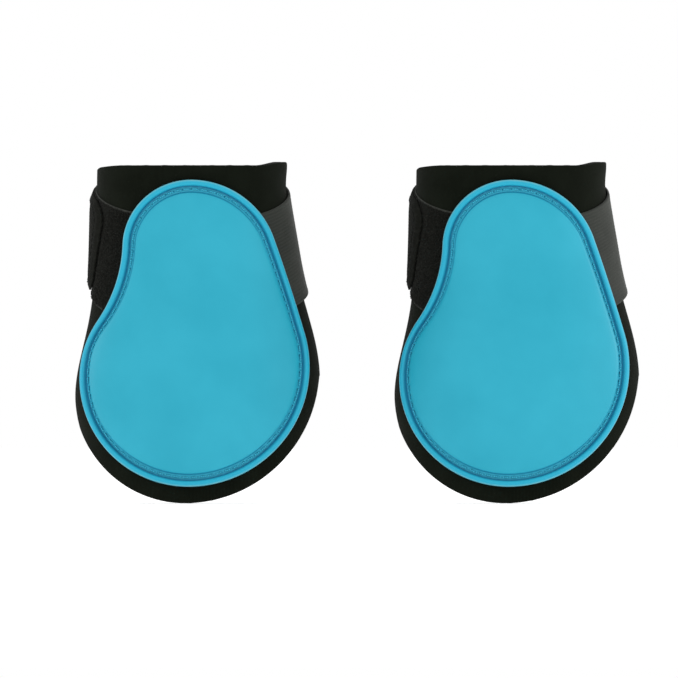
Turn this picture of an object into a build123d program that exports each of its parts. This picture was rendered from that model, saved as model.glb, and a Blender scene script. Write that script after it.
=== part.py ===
"""A pair of hind fetlock boots for a horse, each closed by one hook-and-loop strap.

Millimetres, +Z up the leg. The origin is on the leg axis of the left boot, level with its lowest edge.
The moulded shell faces -Y, and both boots are the same hand.
"""
from build123d import *
from math import asin, ceil, cos, degrees, exp, hypot, radians, sin, sqrt, tan
import os

# ---- overall sizes -------------------------------------------------------------------------
BOOT_SPACING = 160.0        # between the two leg axes
TOP_HEIGHT = 169.0          # top edge of the liner above its lowest edge
TOP_CORNER_RISE = 1.8       # the top edge climbs this much on the strap side
RISE, FALL = (50.0, 85.0), (100.0, 130.0)   # degrees over which it climbs, and comes down again

# ---- layers of the wall, counted outwards from the leg ---------------------------------------
LINING = 0.8                # brushed knit next to the leg
FOAM = 4.0                  # neoprene
FACE = 0.8                  # smooth knit on the outside
LOOP_PAD = 1.0              # loop fabric on the liner
STRAP = 1.3                 # elastic strap
HOOK_PATCH = 0.9            # hook tape on the strap's end
SEWN_ROOM = 0.2             # from the sewn end of the strap to the shell over it
UNDER_SHELL = max(STRAP, LOOP_PAD) + SEWN_ROOM   # room below the shell for the sewn ends and the shock pad
FREE_GAP = 0.3              # between pieces that part when the strap opens
SEAT_GAP = 0.12             # between layers that lie on each other
WALL = LINING + FOAM + FACE

# ---- the leg form: half widths of the liner's outer face -------------------------------------
# (half width at the top, growth per mm downwards, bulge, height of the bulge, its spread)
LOOP_SIDE = (48.7, 0.016, 9.2, 53.5, 35.5)
STRAP_SIDE = (45.1, 0.079, 9.6, 67.3, 40.1)
SHELL_SIDE = (32.5, 0.020, 4.5, 62.0, 42.0)
OPEN_SIDE = (36.0, 0.070, 0.0, 62.0, 42.0)
SHELL_SQUARENESS = 0.10     # how far the cross-section fills out beyond an ellipse
OPEN_SQUARENESS = 0.35

# ---- shell: a pear outline of six tangent arcs, seen along +Y --------------------------------
SHELL_BELOW_TOP = 7.0       # from the liner's top edge to the shell's
SHELL_TOP = (-1.5, TOP_HEIGHT - SHELL_BELOW_TOP)
SHELL_BOTTOM = (-2.8, 8.0)
R_TOP_LOOP, R_TOP_STRAP = 34.0, 43.4
R_BOTTOM_LOOP, R_BOTTOM_STRAP = 53.8, 60.0
R_WAIST = 73.0              # the hollow on the loop side
R_FLANK = 1040.0            # the almost straight strap side
BEAD_WIDTH, BEAD_HEIGHT = 3.3, 3.6
CHANNEL_WIDTH, CHANNEL_FLOOR = 3.0, 1.4
PANEL_THICKNESS = 2.4
SHOCK_PAD_INSET = 2.0
SHOCK_PAD_REACH = 88.0      # degrees each way round the leg, short of the hinge lines

# ---- liner edges ---------------------------------------------------------------------------
LOBE_X = -4.6               # the lowest point of the liner, beside the leg axis
R_LOBE_LOOP, R_LOBE_STRAP = 55.9, 67.4
WING_EDGE_HEIGHT = 60.0     # lower edge of the wings, at the sides of the leg
WING_EDGE_SLOPE = 0.9       # and its climb towards the open side
OPENING_WIDTH = 34.0        # between the rear edges of the two wings
WING_CORNER = 9.0           # radius of the wings' rear corners

# ---- strap and loop pad ----------------------------------------------------------------------
STRAP_WIDTH = 48.0
STRAP_BELOW_TOP = 38.0      # from the liner's top edge to the middle of the strap, at the leg's sides
STRAP_HEIGHT = TOP_HEIGHT - STRAP_BELOW_TOP
STRAP_TILT = 15.0           # it climbs towards the open side
PAD_WIDTH = 51.0
PAD_SETBACK = 2.0           # from the wing's rear edge
SEWN_UNDER = 7.0            # how far the sewn ends reach under the shell's edge
SEWN_CLEARANCE = 0.5        # from the sewn ends to the shock pad
HOOK_WIDTH = 43.0
HOOK_SETBACK = 3.0          # from the strap's end and from its hinge line
STRAP_END_Y = -13.0         # the strap ends just past the side of the leg
END_CORNER = 11.0
LIFT = (105.0, 128.0)       # degrees over which the strap comes free of the liner
CLIMB = (165.0, 215.0)      # over which it rises to the height of the hook patch
RETURN = (305.0, 355.0)     # past its end, where the sleeve that it is cut from closes up
STAND_OFF = 1.9             # the slack strap stands clear of the liner beside the shell
LEAVE, LAND = (62.0, 88.0), (95.0, 124.0)   # degrees over which it leaves the liner, and lies down again
STAND_OFF_FADE = (2.0, 44.0)  # nearer the top edge it stands less clear: distances down from that edge

# ---- hinge lines, as angles round the leg from the middle of the shell ------------------------
WING_LINE = 90.0
STRAP_LINE = 130.0
END_LINE = 230.0
HINGE_GAP = 0.5             # degrees, left between two pieces that turn on each other
PIVOT_CLEARANCE = 0.4       # a hinge line stands this far outside the pieces that it joins
REAR_LIMIT, END_LIMIT, SEWN_LIMIT = 175.0, 300.0, 5.0   # where the trimming wedges stop

# ---- stitching -----------------------------------------------------------------------------
SHELL_PITCH, SHELL_STITCH, SHELL_THREAD = 4.3, 3.3, 0.35
TAPE_PITCH, TAPE_STITCH, TAPE_THREAD = 3.6, 2.6, 0.2
STITCH_LIFT = 0.12          # thread above the surface that it lies on
TAPE_STITCH_INSET = 1.3
TAPE_STITCH_MARGIN = 4.0    # degrees from a hinge line to the nearest stitch
PAD_ROW_END, HOOK_ROW_END = -155.0, 279.0

# ---- modelling limits, past every edge of the boot ---------------------------------------------
BELOW, ABOVE = -8.0, TOP_HEIGHT + 10.0
SECTIONS, SECTION_POINTS = 12, 28
CUT_HEIGHT = 0.75 * STRAP_HEIGHT    # the trimming cuts stand square to the wall at this height
INSIDE, OUTSIDE = -20.0, 28.0   # reach of a trimming wedge from the leg form


def smooth(value, start, end):
    """0 before start, 1 after end, and an even turn between them."""
    u = min(1.0, max(0.0, (value - start) / (end - start)))
    return u * u * (3.0 - 2.0 * u)


def half_width(side, z):
    top, growth, bulge, height, spread = side
    return top - WALL + growth * (TOP_HEIGHT - z) + bulge * exp(-(((z - height) / spread) ** 2))


def form(angle, z, offset=0.0):
    """(x, y) on the leg form, or offset mm outside it. Angle 0 is the shell, 90 the strap side."""
    s, c = sin(radians(angle)), cos(radians(angle))
    a = half_width(STRAP_SIDE if s >= 0 else LOOP_SIDE, z)
    b = half_width(SHELL_SIDE if c >= 0 else OPEN_SIDE, z)
    k = SHELL_SQUARENESS if c >= 0 else OPEN_SQUARENESS
    x, y = a * s, -b * c * (1.0 + k * s * s)
    dx, dy = a * c, b * s * (1.0 + k * s * s) - 2.0 * b * k * c * s * c
    length = hypot(dx, dy)
    return x + offset * dy / length, y - offset * dx / length


def angle_at(x, z, offset):
    """The angle on the shell side of the form whose point has this x."""
    low, high = -90.0, 90.0
    for _ in range(40):
        middle = (low + high) / 2.0
        if form(middle, z, offset)[0] < x:
            low = middle
        else:
            high = middle
    return (low + high) / 2.0


def on_shell_side(x, z, offset):
    """The point of the offset form at this x and z, on the shell's side of the leg."""
    return Vector(x, form(angle_at(x, z, offset), z, offset)[1], z)


def form_solid(offset, seam=180.0):
    """The leg form grown by offset, a number or a function of angle and height, closed at the seam."""
    grow = offset if callable(offset) else lambda angle, z: offset
    steps = [j / SECTION_POINTS for j in range(SECTION_POINTS + 1)]
    sections = []
    for i in range(SECTIONS):
        z = BELOW + (ABOVE - BELOW) * i / (SECTIONS - 1)
        points = []
        for step in steps[:-1]:
            angle = seam + 360.0 * step
            points.append(Vector(*form(angle, z, grow(angle % 360.0, z)), z))
        sections.append(Wire([Edge.make_spline(points, periodic=True, parameters=steps)]))
    return Solid.make_loft(sections)


def skin(inner, thickness, seam=180.0):
    """A closed sleeve of that thickness round the leg form."""
    start = inner if callable(inner) else lambda angle, z: inner
    return form_solid(lambda angle, z: start(angle, z) + thickness, seam) - form_solid(start, seam)


def lower_edge(angle):
    """Height of the liner's lower edge: round in front, then a slant up to the open side."""
    z = R_LOBE_LOOP / 2.0
    for _ in range(12):
        x, y = form(angle, z, WALL)
        radius = R_LOBE_LOOP if x < LOBE_X else R_LOBE_STRAP
        lobe = radius - sqrt(max(radius**2 - (x - LOBE_X) ** 2, 0.0))
        slant = WING_EDGE_HEIGHT + WING_EDGE_SLOPE * max(y, -8.0)
        share = smooth(y, -8.0, 8.0)
        z = 0.5 * z + 0.5 * ((1.0 - share) * lobe + share * slant)
    return z


def top_edge(angle):
    """Height of the liner's top edge."""
    beside = smooth(abs(angle), *RISE) * (1.0 - smooth(abs(angle), *FALL))
    return TOP_HEIGHT + (TOP_CORNER_RISE if angle > 0 else -0.5 * TOP_CORNER_RISE) * beside


def wedge(start, end, low=lambda angle: BELOW, high=lambda angle: ABOVE):
    """A block round part of the leg, from angle start to end, whose edges stand square to the wall."""
    count = max(2, ceil((end - start) / 6.0)) + 1
    sections = []
    for i in range(count):
        angle = start + (end - start) * i / (count - 1)
        inner = form(angle, CUT_HEIGHT, INSIDE)
        outer = form(angle, CUT_HEIGHT, OUTSIDE)
        corners = [(*inner, low(angle)), (*outer, low(angle)), (*outer, high(angle)), (*inner, high(angle))]
        sections.append(Wire.make_polygon([Vector(*c) for c in corners], close=True))
    return Solid.make_loft(sections)


def arc(centre, radius, start, end):
    """An arc of under half a turn about centre, from near start to near end."""
    c = Vector(*centre)
    a, b = (Vector(*start) - c).normalized(), (Vector(*end) - c).normalized()
    return ThreePointArc(c + a * radius, c + (a + b).normalized() * radius, c + b * radius)


def pear(inset):
    """The shell's outline in the XZ plane, as a closed wire moved inwards by inset."""
    top_l = Vector(SHELL_TOP[0], SHELL_TOP[1] - R_TOP_LOOP)
    top_s = Vector(SHELL_TOP[0], SHELL_TOP[1] - R_TOP_STRAP)
    low_l = Vector(SHELL_BOTTOM[0], SHELL_BOTTOM[1] + R_BOTTOM_LOOP)
    low_s = Vector(SHELL_BOTTOM[0], SHELL_BOTTOM[1] + R_BOTTOM_STRAP)

    def third_centre(a, b, from_a, from_b):
        """The point on the loop side of the line from b to a, at these distances from them."""
        gap = a - b
        along = (from_b**2 - from_a**2 + gap.length**2) / (2.0 * gap.length)
        unit = gap.normalized()
        return b + unit * along + Vector(-unit.Y, unit.X) * sqrt(from_b**2 - along**2)

    waist = third_centre(top_l, low_l, R_TOP_LOOP + R_WAIST, R_BOTTOM_LOOP + R_WAIST)
    flank = third_centre(top_s, low_s, R_FLANK - R_TOP_STRAP, R_FLANK - R_BOTTOM_STRAP)
    apex, base = Vector(*SHELL_TOP), Vector(*SHELL_BOTTOM)
    top_right = top_s + (top_s - flank).normalized() * R_TOP_STRAP
    low_right = low_s + (low_s - flank).normalized() * R_BOTTOM_STRAP
    edges = [
        arc(top_s, R_TOP_STRAP - inset, apex, top_right),
        arc(flank, R_FLANK - inset, top_right, low_right),
        arc(low_s, R_BOTTOM_STRAP - inset, low_right, base),
        arc(low_l, R_BOTTOM_LOOP - inset, base, waist),
        arc(waist, R_WAIST + inset, low_l, top_l),
        arc(top_l, R_TOP_LOOP - inset, waist, apex),
    ]
    return Wire([Plane.XZ * e for e in edges])


def pear_block(inset):
    """The pear outline carried through the shell's side of the boot."""
    return extrude(Face(pear(inset)), amount=100.0, dir=(0, -1, 0))


def band(width, height=STRAP_HEIGHT):
    """A tilted slab that cuts a band of this width from a sleeve."""
    return Pos(0, 0, height) * Rot(STRAP_TILT, 0, 0) * Box(300.0, 300.0, width)


def side_view_block(width, end_y, corner):
    """What is left of a band whose front end is cut at end_y, with round corners, seen along X."""
    length = 90.0
    outline = Plane.YZ * Pos(end_y + length / 2.0, 0) * RectangleRounded(length, width, corner)
    return Pos(0, 0, STRAP_HEIGHT) * Rot(STRAP_TILT, 0, 0) * extrude(outline, amount=150.0, both=True)


def opening_block(width, corner=WING_CORNER):
    """The slot between the wings' rear edges, which rounds off their corners."""
    half = width / 2.0
    outline = Rectangle(width, 400.0)
    for side in (-1, 1):
        reach = half_width(STRAP_SIDE if side > 0 else LOOP_SIDE, TOP_HEIGHT)
        turn = 180.0 - side * degrees(asin(half / reach))
        for edge, up in ((lower_edge(turn), 1), (top_edge(side * 180.0), -1)):
            flare = Rectangle(corner, corner) - Pos(side * corner / 2.0, up * corner / 2.0) * Circle(corner)
            beside = side * (half + corner / 2.0)
            outline += Pos(beside, edge + up * corner / 2.0) * flare
            outline += Pos(beside, edge - up * corner / 2.0) * Rectangle(corner, corner)
    return extrude(Plane.XZ * outline, amount=100.0, dir=(0, 1, 0))


def dashes(points, length, radius):
    """Straight stitches from each point of a row towards the next."""
    stitches = []
    for start, end in zip(points, points[1:]):
        along = (end - start).normalized()
        stitches.append(Solid.make_cylinder(radius, length, Plane(origin=start, z_dir=along)))
    return Compound(children=stitches)


def shell():
    """The moulded shell: a rounded bead at its edge, a sunk sewing channel, and the panel."""
    base = WALL + UNDER_SHELL
    body = form_solid(base + BEAD_HEIGHT) & pear_block(0.0)
    body -= pear_block(BEAD_WIDTH) - form_solid(base + CHANNEL_FLOOR)
    body += form_solid(base + PANEL_THICKNESS) & pear_block(BEAD_WIDTH + CHANNEL_WIDTH)
    return body - form_solid(base)


def shell_stitching():
    """One row of lockstitch in the channel, all the way round."""
    row = pear(BEAD_WIDTH + 0.6 * CHANNEL_WIDTH)
    count = round(row.length / SHELL_PITCH)
    height = WALL + UNDER_SHELL + CHANNEL_FLOOR + SHELL_THREAD + STITCH_LIFT
    points = []
    for i in range(count + 1):
        p = row.position_at(i / count)
        points.append(on_shell_side(p.X, p.Z, height))
    return dashes(points, SHELL_STITCH, SHELL_THREAD)


def strap_offset(angle, z=STRAP_HEIGHT):
    """Inner face of the strap: on the liner, then free of it, then out over the hook patch."""
    beside = smooth(angle, *LEAVE) * (1.0 - smooth(angle, *LAND))
    slack = STAND_OFF * beside * smooth(TOP_HEIGHT - z, *STAND_OFF_FADE)
    loop_side = WALL + LOOP_PAD + FREE_GAP + HOOK_PATCH
    lifted = FREE_GAP * smooth(angle, *LIFT)
    climb = (loop_side - WALL - FREE_GAP) * smooth(angle, *CLIMB)
    return WALL + SEAT_GAP + slack + (lifted + climb) * (1.0 - smooth(angle, *RETURN))


def strap_pieces():
    """The elastic strap in four lengths, from its sewn end to its free end."""
    sleeve = skin(strap_offset, STRAP, seam=0.0) & band(STRAP_WIDTH)
    gap = HINGE_GAP / 2.0
    return {
        "strap_anchor": (sleeve & wedge(SEWN_LIMIT, WING_LINE - gap)) - pear_block(SEWN_UNDER),
        "strap_side": sleeve & wedge(WING_LINE + gap, STRAP_LINE - gap),
        "strap_back": sleeve & wedge(STRAP_LINE + gap, END_LINE - gap),
        "strap_end": sleeve
        & wedge(END_LINE + gap, END_LIMIT)
        & side_view_block(STRAP_WIDTH, STRAP_END_Y, END_CORNER),
    }


def hook_patch():
    sleeve = skin(WALL + LOOP_PAD + FREE_GAP, HOOK_PATCH) & wedge(END_LINE + HOOK_SETBACK, END_LIMIT)
    return sleeve & side_view_block(HOOK_WIDTH, STRAP_END_Y + HOOK_SETBACK, END_CORNER - HOOK_SETBACK)


def loop_pads():
    """The loop fabric in its two lengths: sewn in under the shell, and on the wing behind it."""
    sleeve = skin(WALL, LOOP_PAD) & band(PAD_WIDTH)
    gap = HINGE_GAP / 2.0
    return {
        "loop_pad_front": (sleeve & wedge(-WING_LINE + gap, -SEWN_LIMIT)) - pear_block(SEWN_UNDER),
        "loop_pad_wing": (sleeve & wedge(-REAR_LIMIT, -WING_LINE - gap))
        - opening_block(OPENING_WIDTH + 2.0 * PAD_SETBACK, 0.7 * WING_CORNER),
    }


def liner_pieces():
    """Three bonded layers, each in three lengths: under the shell, and a wing at each side."""
    gap = HINGE_GAP / 2.0
    opening = opening_block(OPENING_WIDTH)
    spans = {
        "front": wedge(-WING_LINE + gap, WING_LINE - gap, lower_edge, top_edge),
        "loop_wing": wedge(-REAR_LIMIT, -WING_LINE - gap, lower_edge, top_edge) - opening,
        "strap_wing": wedge(WING_LINE + gap, REAR_LIMIT, lower_edge, top_edge) - opening,
    }
    layers = {"lining": (0.0, LINING), "foam": (LINING, FOAM), "face": (LINING + FOAM, FACE)}
    pieces = {}
    for layer, (start, thickness) in layers.items():
        sleeve = skin(start, thickness)
        for span, block in spans.items():
            pieces[f"liner_{layer}_{span}"] = sleeve & block
    return pieces


def shock_pad():
    """Foam between the liner and the shell, cut away round the sewn ends."""
    pad = skin(WALL, UNDER_SHELL - FREE_GAP) & pear_block(SHOCK_PAD_INSET)
    pad = pad & wedge(-SHOCK_PAD_REACH, SHOCK_PAD_REACH)
    widest = max(PAD_WIDTH, STRAP_WIDTH)
    return pad - (band(widest + 2.0 * SEWN_CLEARANCE) - pear_block(SEWN_UNDER + SEWN_CLEARANCE))


def tape_rows(start, end, width, offset):
    """Two rows of stitches along the edges of a band, between two angles."""
    rows = []
    for side in (-1, 1):
        points = []
        angle = start
        while angle < end:
            x, y = form(angle, STRAP_HEIGHT, offset)
            z = STRAP_HEIGHT + y * tan(radians(STRAP_TILT)) + side * (width / 2.0 - TAPE_STITCH_INSET)
            x, y = form(angle, z, offset)
            points.append(Vector(x, y, z))
            angle += degrees(TAPE_PITCH / hypot(x, y))
        rows += dashes(points, TAPE_STITCH, TAPE_THREAD).children
    return rows


def cross_row(angle, width, offset):
    """A row of stitches across a band at one angle."""
    count = int((width - 4.0 * TAPE_STITCH_INSET) / TAPE_PITCH)
    points = []
    for i in range(count + 1):
        x, y = form(angle, STRAP_HEIGHT, offset)
        z = STRAP_HEIGHT + y * tan(radians(STRAP_TILT)) + (i - count / 2.0) * TAPE_PITCH
        x, y = form(angle, z, offset)
        points.append(Vector(x, y, z))
    return dashes(points, TAPE_STITCH, TAPE_THREAD).children


def loop_pad_stitching():
    height = WALL + LOOP_PAD + TAPE_THREAD + STITCH_LIFT
    rows = tape_rows(PAD_ROW_END, -WING_LINE - TAPE_STITCH_MARGIN, PAD_WIDTH, height)
    return Compound(children=rows)


def hook_patch_stitching():
    height = strap_offset(END_LINE) + STRAP + TAPE_THREAD + STITCH_LIFT
    first = END_LINE + TAPE_STITCH_MARGIN
    rows = tape_rows(first + 1.0, HOOK_ROW_END, HOOK_WIDTH, height)
    rows += cross_row(first, HOOK_WIDTH, height)
    return Compound(children=rows)


def boot():
    """Every piece of one boot, by name, round the Z axis."""
    pieces = {"shell": shell(), "shell_stitching": shell_stitching()}
    pieces.update(liner_pieces())
    pieces.update(loop_pads())
    pieces.update(strap_pieces())
    pieces["shock_pad"] = shock_pad()
    pieces["hook_patch"] = hook_patch()
    pieces["loop_pad_stitching"] = loop_pad_stitching()
    pieces["hook_patch_stitching"] = hook_patch_stitching()
    return pieces


def hinge_point(angle, z, offset):
    """A point that far outside the form, in the plane in which the pieces are cut at this angle."""
    foot, ahead = Vector(*form(angle, CUT_HEIGHT)), Vector(*form(angle, CUT_HEIGHT, 1.0))
    square = ahead - foot
    there = foot + square * (Vector(*form(angle, z, offset)) - foot).dot(square)
    return there.X, there.Y, z


def hinge_lines():
    """Two points on each hinge line of a boot: outside the pieces it joins, low and high."""
    on_pad, on_strap = WALL + LOOP_PAD + PIVOT_CLEARANCE, strap_offset(WING_LINE) + STRAP + PIVOT_CLEARANCE
    lines = {}
    for name, angle, outside in (("loop_wing", -WING_LINE, on_pad), ("strap_wing", WING_LINE, on_strap)):
        lines[name] = [hinge_point(angle, z, outside) for z in (WING_EDGE_HEIGHT, TOP_HEIGHT)]
    for name, angle in (("strap", STRAP_LINE), ("strap_end", END_LINE)):
        middle = STRAP_HEIGHT + form(angle, STRAP_HEIGHT, WALL)[1] * tan(radians(STRAP_TILT))
        outside = strap_offset(angle) + STRAP + PIVOT_CLEARANCE
        heights = (middle - STRAP_WIDTH / 2.0, middle + STRAP_WIDTH / 2.0)
        lines[name] = [hinge_point(angle, z, outside) for z in heights]
    return lines


def main():
    os.makedirs("parts", exist_ok=True)
    for name, piece in boot().items():
        for side, x in (("left", 0.0), ("right", BOOT_SPACING)):
            export_step(Pos(x, 0, 0) * piece, f"parts/{side}_{name}.step")
    for name, (low, high) in hinge_lines().items():
        print(name, [round(v, 2) for v in low], [round(v, 2) for v in high])


main()
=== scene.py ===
"""Finished look of a pair of hind fetlock boots: moulded shells over neoprene liners, with elastic straps."""
from math import cos, pi, radians, sin, sqrt, tan

import bmesh
import bpy
import numpy as np
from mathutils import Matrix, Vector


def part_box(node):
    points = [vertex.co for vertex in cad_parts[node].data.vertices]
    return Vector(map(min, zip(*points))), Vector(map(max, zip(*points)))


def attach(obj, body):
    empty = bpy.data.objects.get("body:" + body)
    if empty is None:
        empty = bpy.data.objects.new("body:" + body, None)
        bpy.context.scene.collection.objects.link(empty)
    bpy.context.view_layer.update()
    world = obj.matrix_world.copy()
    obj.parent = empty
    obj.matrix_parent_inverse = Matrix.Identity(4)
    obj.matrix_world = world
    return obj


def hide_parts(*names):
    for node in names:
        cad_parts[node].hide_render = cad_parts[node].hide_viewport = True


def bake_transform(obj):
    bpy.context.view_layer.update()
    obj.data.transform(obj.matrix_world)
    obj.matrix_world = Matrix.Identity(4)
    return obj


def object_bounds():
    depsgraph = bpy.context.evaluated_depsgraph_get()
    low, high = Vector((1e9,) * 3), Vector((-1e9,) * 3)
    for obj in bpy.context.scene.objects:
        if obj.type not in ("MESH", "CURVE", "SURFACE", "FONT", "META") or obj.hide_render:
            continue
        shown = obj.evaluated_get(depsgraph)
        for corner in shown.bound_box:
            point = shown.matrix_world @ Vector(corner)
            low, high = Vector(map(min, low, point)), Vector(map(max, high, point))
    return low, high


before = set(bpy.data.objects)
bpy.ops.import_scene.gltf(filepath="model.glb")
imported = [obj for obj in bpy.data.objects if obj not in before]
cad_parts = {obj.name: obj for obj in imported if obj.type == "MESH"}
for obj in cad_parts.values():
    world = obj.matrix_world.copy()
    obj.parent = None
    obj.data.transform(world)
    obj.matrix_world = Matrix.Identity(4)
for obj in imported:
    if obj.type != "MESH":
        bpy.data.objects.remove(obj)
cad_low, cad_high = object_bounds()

MM = 0.001

# ---- layers of the wall, counted outwards from the leg ---------------------------------------
LINING = 0.8 * MM
FOAM = 4.0 * MM
FACE = 0.8 * MM
WALL = LINING + FOAM + FACE
LOOP_PAD = 1.0 * MM
UNDER_SHELL = 1.5 * MM
STRAP = 1.3 * MM
HOOK_PATCH = 0.9 * MM
FREE_GAP = 0.3 * MM
SEAT_GAP = 0.12 * MM
SHELL_BASE = WALL + UNDER_SHELL
HOOK_FACE = WALL + LOOP_PAD + FREE_GAP

# ---- the leg form: half widths of the liner's outer face -------------------------------------
# (half width at the top, growth per unit downwards, bulge, height of the bulge, its spread)
TOP_HEIGHT = 169.0 * MM
TOP_CORNER_RISE = 1.8 * MM
LOOP_SIDE = (48.7 * MM, 0.016, 9.2 * MM, 53.5 * MM, 35.5 * MM)
STRAP_SIDE = (45.1 * MM, 0.079, 9.6 * MM, 67.3 * MM, 40.1 * MM)
SHELL_SIDE = (32.5 * MM, 0.020, 4.5 * MM, 62.0 * MM, 42.0 * MM)
OPEN_SIDE = (36.0 * MM, 0.070, 0.0, 62.0 * MM, 42.0 * MM)
SHELL_SQUARENESS = 0.10
OPEN_SQUARENESS = 0.35

# ---- shell -------------------------------------------------------------------------------------
SHELL_TOP = (-1.5 * MM, 162.0 * MM)
SHELL_BOTTOM = (-2.8 * MM, 8.0 * MM)
R_TOP_LOOP, R_TOP_STRAP = 34.0 * MM, 43.4 * MM
R_BOTTOM_LOOP, R_BOTTOM_STRAP = 53.8 * MM, 60.0 * MM
R_WAIST, R_FLANK = 73.0 * MM, 1040.0 * MM
PANEL_CENTRE = (0.0, 72.0 * MM)
PANEL_CROWN = 0.5 * MM
STITCH_INSET = 4.9 * MM         # the needle line, from the shell's edge
STITCH_PITCH = 4.3 * MM
NEEDLE_RADIUS, NEEDLE_DEPTH = 0.36 * MM, 0.8 * MM

# ---- liner edges ---------------------------------------------------------------------------
LOBE_X = -4.6 * MM
R_LOBE_LOOP, R_LOBE_STRAP = 55.9 * MM, 67.4 * MM
WING_EDGE_HEIGHT = 60.0 * MM
WING_EDGE_SLOPE = 0.9
OPENING_WIDTH = 34.0 * MM
WING_CORNER = 9.0 * MM

# ---- strap and loop pad ----------------------------------------------------------------------
STRAP_WIDTH = 48.0 * MM
STRAP_HEIGHT = 131.0 * MM
STRAP_TILT = radians(15.0)
FRONT_DROP = 0.16               # it runs down more steeply in front, by this much per unit
PAD_WIDTH = 51.0 * MM
PAD_SETBACK = 2.0 * MM
SEWN_UNDER = 7.0 * MM
HOOK_WIDTH = 43.0 * MM
HOOK_SETBACK = 3.0 * MM
TAPE_STITCH_INSET = 1.3 * MM    # from the loop pad's edge
STRAP_END_Y = -13.0 * MM
END_CORNER = 11.0 * MM
WING_LINE, END_LINE = 90.0, 230.0
HOOK_START = END_LINE + 0.003   # degrees, just clear of the line where the strap's end bends
STAND_OFF = 1.9 * MM            # the slack strap stands clear of the liner beside the shell
STAND_OFF_FADE = (2.0 * MM, 44.0 * MM)      # nearer the top edge it stands less clear
# degrees over which the strap leaves the liner, lies down again, comes free of the wing, rises to
# the loop pad, takes the brushed lie of its free end, and is pressed down at its edges
LEAVE, LAND, LIFT = (62.0, 88.0), (95.0, 124.0), (105.0, 128.0)
CLIMB, BRUSHED, PRESSED = (165.0, 215.0), (222.0, 234.0), (236.0, 250.0)
RIB_PITCH = 1.6 * MM
STRAP_SPLITS = (112.0, 180.0)   # degrees at which its visual lengths meet
STRAP_BEND, END_BEND = (120.0, 141.0), (214.0, 238.0)    # degrees over which each hinge bends it
CORNER_FLARE = 1.5 * MM         # the liner's top corner curls out on the strap side
FLARE_FROM, FLARE_UNTIL = (52.0, 84.0), (100.0, 125.0)  # degrees

TO_RIGHT_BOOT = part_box("right_shell")[0][0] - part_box("left_shell")[0][0]
rng = np.random.default_rng(7)


# ---- the leg form ------------------------------------------------------------------------------

def smooth(value, start, end):
    """0 before start, 1 after end, and an even turn between them."""
    u = np.clip((np.asarray(value, float) - start) / (end - start), 0.0, 1.0)
    return u * u * (3.0 - 2.0 * u)


def half_width(side, z):
    top, growth, bulge, height, spread = side
    return top - WALL + growth * (TOP_HEIGHT - z) + bulge * np.exp(-(((z - height) / spread) ** 2))


def form(angle, z, offset=0.0):
    """Points on the leg form, or offset outside it. Angle 0 is the shell, 90 the strap side."""
    angle, z, offset = np.broadcast_arrays(np.asarray(angle, float), z, offset)
    s, c = np.sin(np.radians(angle)), np.cos(np.radians(angle))
    a = np.where(s >= 0, half_width(STRAP_SIDE, z), half_width(LOOP_SIDE, z))
    b = np.where(c >= 0, half_width(SHELL_SIDE, z), half_width(OPEN_SIDE, z))
    k = np.where(c >= 0, SHELL_SQUARENESS, OPEN_SQUARENESS)
    fill = 1.0 + k * s * s
    dx, dy = a * c, b * s * fill - 2.0 * b * k * c * s * c
    length = np.hypot(dx, dy)
    return np.stack([a * s + offset * dy / length, -b * c * fill - offset * dx / length, z], axis=-1)


def reach(angle, z, offset):
    """How far one degree goes round the form."""
    step = 0.25
    return np.linalg.norm(form(angle + step, z, offset) - form(angle - step, z, offset), axis=-1) / (2 * step)


def angle_at(x, z, offset):
    """The angle on the shell's side of the form whose point has this x."""
    low, high = np.full(np.shape(x), -90.0), np.full(np.shape(x), 90.0)
    for _ in range(40):
        middle = (low + high) / 2.0
        left = form(middle, z, offset)[..., 0] < x
        low, high = np.where(left, middle, low), np.where(left, high, middle)
    return (low + high) / 2.0


def lower_edge(angle):
    """Height of the liner's lower edge: round in front, then a slant up to the open side."""
    z = np.full(np.shape(angle), R_LOBE_LOOP / 2.0)
    for _ in range(30):
        point = form(angle, z, WALL)
        x, y = point[..., 0], point[..., 1]
        radius = np.where(x < LOBE_X, R_LOBE_LOOP, R_LOBE_STRAP)
        lobe = radius - np.sqrt(np.maximum(radius**2 - (x - LOBE_X) ** 2, 0.0))
        slant = WING_EDGE_HEIGHT + WING_EDGE_SLOPE * np.maximum(y, -8.0 * MM)
        share = smooth(y, -8.0 * MM, 8.0 * MM)
        z = 0.5 * z + 0.5 * ((1.0 - share) * lobe + share * slant)
    return z


def top_edge(angle):
    """Height of the top edge: it rises to a rounded corner on the strap side, and drops on the other."""
    away = np.abs(angle)
    corner = TOP_CORNER_RISE * smooth(away, 48.0, 78.0) * (1.0 - 1.5 * smooth(away, 82.0, 100.0))
    dropped = -0.5 * TOP_CORNER_RISE * smooth(away, 50.0, 80.0) - 1.3 * MM * smooth(away, 74.0, 92.0)
    return TOP_HEIGHT + np.where(np.asarray(angle) > 0, corner, dropped)


def strap_climb(y):
    """Height of the strap's middle above its height at the sides of the leg."""
    return y * tan(STRAP_TILT) + FRONT_DROP * (y - np.hypot(y, 4.0 * MM)) / 2.0


def side_view(point):
    """(along, across) of points in the strap's own tilted side view."""
    y, z = point[..., 1], point[..., 2] - STRAP_HEIGHT
    return y * cos(STRAP_TILT) + z * sin(STRAP_TILT), (z - strap_climb(y)) * cos(STRAP_TILT)


def height_in_band(angle, across, offset):
    """Height at which a line across the tilted band crosses this angle."""
    z = np.full(np.broadcast(angle, across).shape, STRAP_HEIGHT)
    for _ in range(8):
        y = form(angle, z, offset)[..., 1]
        z = STRAP_HEIGHT + strap_climb(y) + across / cos(STRAP_TILT)
    return z


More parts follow.
